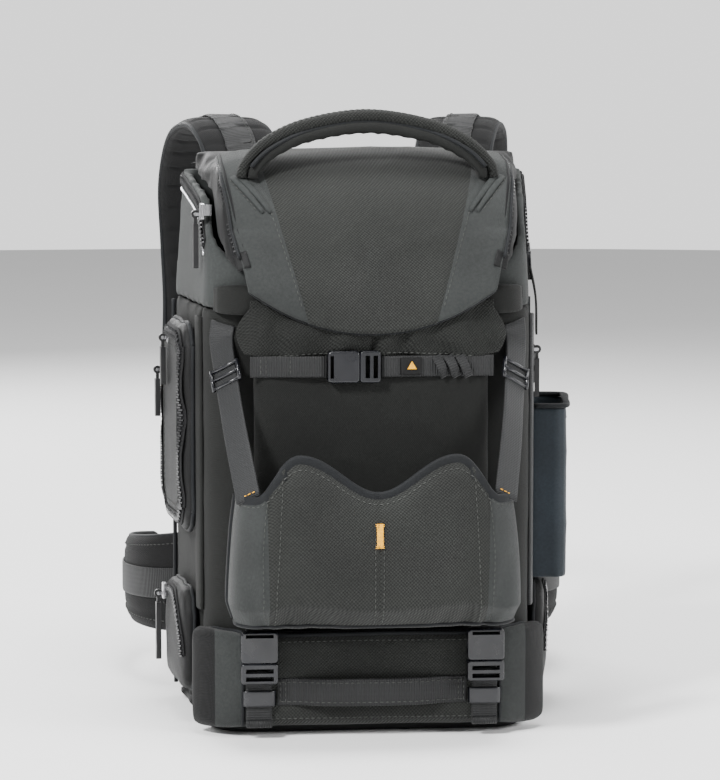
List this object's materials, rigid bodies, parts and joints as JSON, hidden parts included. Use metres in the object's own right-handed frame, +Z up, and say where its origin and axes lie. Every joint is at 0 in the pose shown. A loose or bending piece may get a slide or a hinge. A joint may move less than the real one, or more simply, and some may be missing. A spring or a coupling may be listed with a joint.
{
  "type": "drone backpack case",
  "caption": "Padded backpack case with an open front sling pouch for a quadcopter, hooded zip lid, side access door, carry handle, shoulder straps and hip belt.",
  "frame": {"origin": "middle of the base, on the surface that the pack stands on", "axes": "+Z up, -Y the outer front that faces away from the wearer, +Y towards the wearer's back, +X to the right when looking at the front"},
  "size_m": [0.3666, 0.4945, 0.475],
  "materials": {
    "main_fabric": "dark grey woven nylon with a fine diamond weave",
    "side_fabric": "mid grey plain weave",
    "base_fabric": "black coated fabric",
    "stretch_fabric": "blue-grey stretch fabric",
    "lining": "grey brushed padded lining",
    "webbing": "dark grey ribbed webbing",
    "harness_pad": "black padded fabric with air mesh",
    "buckle_plastic": "blue-black moulded plastic",
    "pull_rubber": "black soft rubber",
    "zip_metal": "bright die-cast metal",
    "stay_metal": "plain aluminium bar",
    "frame_plastic": "thin black plastic sheet"
  },
  "bodies": {
    "pack": {"base_panel": "base_fabric", "front_wall": "main_fabric", "side_wall_left": "side_fabric", "side_wall_right": "side_fabric", "compartment_shelf": "lining", "top_collar": "side_fabric", "lid_skirt": "main_fabric", "lower_apron": "base_fabric", "front_pocket": "main_fabric", "pouch_straps": "webbing", "sewn_webbing": "webbing", "buckle_sockets": "buckle_plastic", "base_grab_strap": "webbing", "lower_pockets": "side_fabric", "tripod_pocket": "stretch_fabric", "tripod_strap_lock": "buckle_plastic", "lower_pocket_slider": "zip_metal", "main_dividers": "lining", "lifter_rings": "zip_metal"},
    "lid": {"top_lid": "main_fabric", "lid_zip_slider": "zip_metal"},
    "lid_pull": {"lid_zip_pull": "pull_rubber"},
    "handle": {"carry_handle": "main_fabric"},
    "pouch": {"drone_pouch": "main_fabric"},
    "side_door": {"side_door": "side_fabric", "side_door_sliders": "zip_metal"},
    "door_pull_upper": {"side_door_pull_upper": "pull_rubber"},
    "door_pull_lower": {"side_door_pull_lower": "pull_rubber"},
    "pocket_pull": {"lower_pocket_pull": "pull_rubber"},
    "side_slider": {"side_zip_slider": "zip_metal"},
    "side_pull": {"side_zip_pull": "pull_rubber"},
    "plug_left": {"buckle_plug_left": "buckle_plastic"},
    "plug_right": {"buckle_plug_right": "buckle_plastic"},
    "front_plug": {"front_buckle_plug": "buckle_plastic", "front_strap_right": "webbing"},
    "divider_left": {"cross_divider_left": "lining"},
    "divider_right": {"cross_divider_right": "lining"},
    "rear_door": {"rear_panel": "harness_pad", "frame_stays": "stay_metal", "frame_sheet": "frame_plastic", "laptop_sleeve": "lining", "back_pads": "harness_pad", "lumbar_pad": "harness_pad", "strap_webbing": "webbing"},
    "strap_left": {"shoulder_strap_left": "harness_pad", "load_lifter_left": "webbing", "strap_lock_left": "buckle_plastic"},
    "strap_right": {"shoulder_strap_right": "harness_pad", "load_lifter_right": "webbing", "strap_lock_right": "buckle_plastic"},
    "sternum_left": {"sternum_strap_left": "webbing", "sternum_socket": "buckle_plastic"},
    "sternum_right": {"sternum_strap_right": "webbing", "sternum_plug": "buckle_plastic"},
    "belt_left": {"belt_wing_left": "harness_pad", "belt_webbing_left": "webbing", "belt_buckle_socket": "buckle_plastic"},
    "belt_right": {"belt_wing_right": "harness_pad", "belt_webbing_right": "webbing", "belt_buckle_plug": "buckle_plastic"}
  },
  "joints": [
    {"name": "lid_hinge", "type": "hinge", "parent": "pack", "child": "lid", "pos_m": [0, -0.086, 0.345], "axis": [1, 0, 0], "range_deg": [0, 100]},
    {"name": "lid_pull_swing", "type": "hinge", "parent": "lid", "child": "lid_pull", "pos_m": [-0.13047, -0.03548, 0.39604], "axis": [-0.1286, 0.9917, 0], "range_deg": [0, 90]},
    {"name": "handle_fold", "type": "hinge", "parent": "lid", "child": "handle", "pos_m": [0, -0.05246, 0.4247], "axis": [-1, 0, 0], "range_deg": [0, 30]},
    {"name": "pouch_tilt", "type": "hinge", "parent": "pack", "child": "pouch", "pos_m": [0, -0.0906, 0.092], "axis": [1, 0, 0], "range_deg": [0, 30]},
    {"name": "side_door_hinge", "type": "hinge", "parent": "pack", "child": "side_door", "pos_m": [-0.14114, 0.07335, 0.23], "axis": [0, 0, -1], "range_deg": [0, 85]},
    {"name": "door_pull_upper_swing", "type": "hinge", "parent": "side_door", "child": "door_pull_upper", "pos_m": [-0.15415, 0.03133, 0.296], "axis": [-0.1286, 0.9917, 0], "range_deg": [0, 90]},
    {"name": "door_pull_lower_swing", "type": "hinge", "parent": "side_door", "child": "door_pull_lower", "pos_m": [-0.15775, 0.05909, 0.268], "axis": [-0.1286, 0.9917, 0], "range_deg": [0, 90]},
    {"name": "pocket_pull_swing", "type": "hinge", "parent": "pack", "child": "pocket_pull", "pos_m": [-0.15845, 0.04892, 0.09], "axis": [-0.1286, 0.9917, 0], "range_deg": [0, 90]},
    {"name": "side_zip_slide", "type": "slide", "parent": "pack", "child": "side_slider", "axis": [0, 0, -1], "range_m": [0, 0.15]},
    {"name": "side_pull_swing", "type": "hinge", "parent": "side_slider", "child": "side_pull", "pos_m": [0.13398, -0.02858, 0.29], "axis": [-0.1286, -0.9917, 0], "range_deg": [0, 90]},
    {"name": "plug_left_release", "type": "slide", "parent": "pack", "child": "plug_left", "axis": [0, 0, -1], "range_m": [0, 0.016]},
    {"name": "plug_right_release", "type": "slide", "parent": "pack", "child": "plug_right", "axis": [0, 0, -1], "range_m": [0, 0.016]},
    {"name": "front_plug_release", "type": "slide", "parent": "pack", "child": "front_plug", "axis": [1, 0, 0], "range_m": [0, 0.018]},
    {"name": "divider_left_set", "type": "slide", "parent": "pack", "child": "divider_left", "axis": [0, 0, 1], "range_m": [-0.06, 0.06]},
    {"name": "divider_right_set", "type": "slide", "parent": "pack", "child": "divider_right", "axis": [0, 0, 1], "range_m": [-0.06, 0.06]},
    {"name": "rear_door_hinge", "type": "hinge", "parent": "pack", "child": "rear_door", "pos_m": [0, 0.0903, 0.012], "axis": [-1, 0, 0], "range_deg": [0, 90]},
    {"name": "strap_left_lift", "type": "hinge", "parent": "rear_door", "child": "strap_left", "pos_m": [-0.084, 0.1037, 0.386], "axis": [1, 0, 0], "range_deg": [0, 7]},
    {"name": "strap_right_lift", "type": "hinge", "parent": "rear_door", "child": "strap_right", "pos_m": [0.084, 0.1037, 0.386], "axis": [1, 0, 0], "range_deg": [0, 7]},
    {"name": "sternum_left_slide", "type": "slide", "parent": "strap_left", "child": "sternum_left", "axis": [0, 0, 1], "range_m": [-0.025, 0.025]},
    {"name": "sternum_right_slide", "type": "slide", "parent": "strap_right", "child": "sternum_right", "axis": [0, 0, 1], "range_m": [-0.025, 0.025]},
    {"name": "belt_left_swing", "type": "hinge", "parent": "rear_door", "child": "belt_left", "pos_m": [-0.1125, 0.1094, 0.09], "axis": [0, 0, 1], "range_deg": [0, 24]},
    {"name": "belt_right_swing", "type": "hinge", "parent": "rear_door", "child": "belt_right", "pos_m": [0.1125, 0.1094, 0.09], "axis": [0, 0, -1], "range_deg": [0, 24]}
  ]
}
